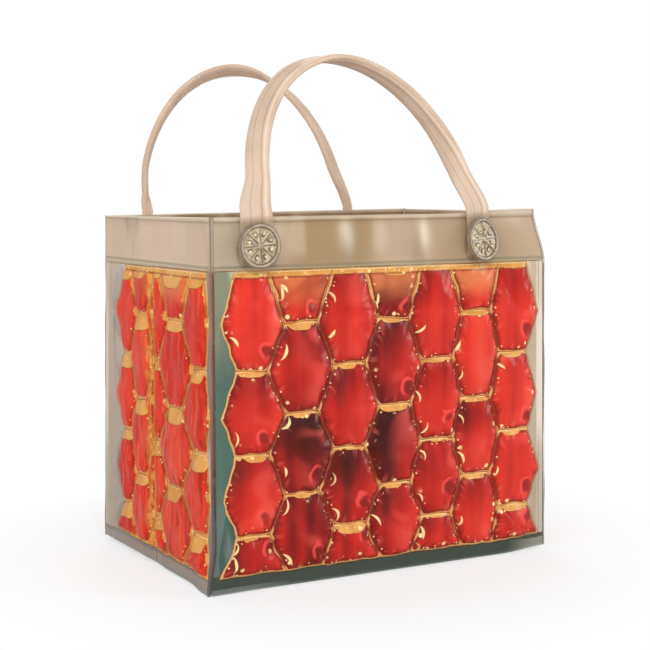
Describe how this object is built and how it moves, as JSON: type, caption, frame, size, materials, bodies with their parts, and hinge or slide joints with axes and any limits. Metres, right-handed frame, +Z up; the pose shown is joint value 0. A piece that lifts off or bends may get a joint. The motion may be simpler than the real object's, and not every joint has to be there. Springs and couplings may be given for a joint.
{
  "type": "gel cooler bag",
  "caption": "Open-top clear bottle cooler bag with hexagon-quilted red gel walls, folding side gussets, a clear header band, and strap handles riveted on round moulded buttons.",
  "frame": {"origin": "mount base_underside: on the surface the bag stands on, under the middle of the four walls", "axes": "+Z up, +Y towards the back wall, +X to the right as the front wall is faced"},
  "size_m": [0.212, 0.1993, 0.2774],
  "materials": {
    "clear_film": "clear soft film, faint teal tint, glossy",
    "red_gel": "translucent red gel, amber where it is thin",
    "header_film": "clear soft film with soft reflections",
    "weld_seam": "welded film edge",
    "clear_strap": "clear flexible extrusion, warm tint",
    "clear_moulding": "clear moulded plastic"
  },
  "bodies": {
    "front_wall": {"front_outer_film": "clear_film", "front_gel": "red_gel", "front_inner_film": "clear_film", "front_header": "header_film", "front_base_flange": "clear_film", "front_left_corner_seam": "weld_seam", "front_right_corner_seam": "weld_seam", "front_left_button": "clear_moulding", "front_right_button": "clear_moulding", "front_left_button_disc": "clear_moulding", "front_right_button_disc": "clear_moulding", "front_left_strap_end": "clear_strap", "front_right_strap_end": "clear_strap"},
    "left_gusset_front": {"left_front_outer_film": "clear_film", "left_front_gel": "red_gel", "left_front_inner_film": "clear_film", "left_front_header": "header_film"},
    "left_gusset_back": {"left_back_outer_film": "clear_film", "left_back_gel": "red_gel", "left_back_inner_film": "clear_film", "left_back_header": "header_film"},
    "right_gusset_front": {"right_front_outer_film": "clear_film", "right_front_gel": "red_gel", "right_front_inner_film": "clear_film", "right_front_header": "header_film"},
    "right_gusset_back": {"right_back_outer_film": "clear_film", "right_back_gel": "red_gel", "right_back_inner_film": "clear_film", "right_back_header": "header_film"},
    "back_wall": {"back_outer_film": "clear_film", "back_gel": "red_gel", "back_inner_film": "clear_film", "back_header": "header_film", "back_base_flange": "clear_film", "back_left_corner_seam": "weld_seam", "back_right_corner_seam": "weld_seam", "back_left_button": "clear_moulding", "back_right_button": "clear_moulding", "back_left_button_disc": "clear_moulding", "back_right_button_disc": "clear_moulding", "back_left_strap_end": "clear_strap", "back_right_strap_end": "clear_strap"},
    "base_front": {"base_front_film": "clear_film"},
    "base_back": {"base_back_film": "clear_film"},
    "front_handle": {"front_handle_strap": "clear_strap"},
    "back_handle": {"back_handle_strap": "clear_strap"}
  },
  "joints": [
    {"name": "bag_fold", "type": "hinge", "parent": "front_wall", "child": "left_gusset_front", "pos_m": [-0.1002, -0.07305, 0.094], "axis": [0, 0, -1], "range_deg": [0, 60]},
    {"name": "left_crease", "type": "hinge", "parent": "left_gusset_front", "child": "left_gusset_back", "pos_m": [-0.102, 0, 0.094], "axis": [0, 0, 1], "range_deg": [0, 120]},
    {"name": "left_back_corner", "type": "hinge", "parent": "left_gusset_back", "child": "back_wall", "pos_m": [-0.1002, 0.07305, 0.094], "axis": [0, 0, -1], "range_deg": [0, 60]},
    {"name": "right_front_corner", "type": "hinge", "parent": "front_wall", "child": "right_gusset_front", "pos_m": [0.1002, -0.07305, 0.094], "axis": [0, 0, 1], "range_deg": [0, 60]},
    {"name": "right_crease", "type": "hinge", "parent": "right_gusset_front", "child": "right_gusset_back", "pos_m": [0.102, 0, 0.094], "axis": [0, 0, -1], "range_deg": [0, 120]},
    {"name": "base_front_fold", "type": "hinge", "parent": "front_wall", "child": "base_front", "pos_m": [0, -0.0721, 0.0008], "axis": [-1, 0, 0], "range_deg": [0, 60]},
    {"name": "base_back_fold", "type": "hinge", "parent": "back_wall", "child": "base_back", "pos_m": [0, 0.0721, 0.0008], "axis": [1, 0, 0], "range_deg": [0, 60]},
    {"name": "front_handle_tilt", "type": "hinge", "parent": "front_wall", "child": "front_handle", "pos_m": [-0.0098, -0.0767, 0.19], "axis": [1, 0, 0], "range_deg": [0, 124], "stiffness_Nm_per_rad": 0.06},
    {"name": "back_handle_tilt", "type": "hinge", "parent": "back_wall", "child": "back_handle", "pos_m": [-0.007, 0.0767, 0.19], "axis": [-1, 0, 0], "range_deg": [-36, 74], "stiffness_Nm_per_rad": 0.06}
  ],
  "couplings": [
    {"joint": "left_crease", "follows": "bag_fold", "ratio": 2},
    {"joint": "left_back_corner", "follows": "bag_fold", "ratio": 1},
    {"joint": "right_front_corner", "follows": "bag_fold", "ratio": 1},
    {"joint": "right_crease", "follows": "bag_fold", "ratio": 2},
    {"joint": "base_front_fold", "follows": "bag_fold", "ratio": 1},
    {"joint": "base_back_fold", "follows": "bag_fold", "ratio": 1}
  ]
}
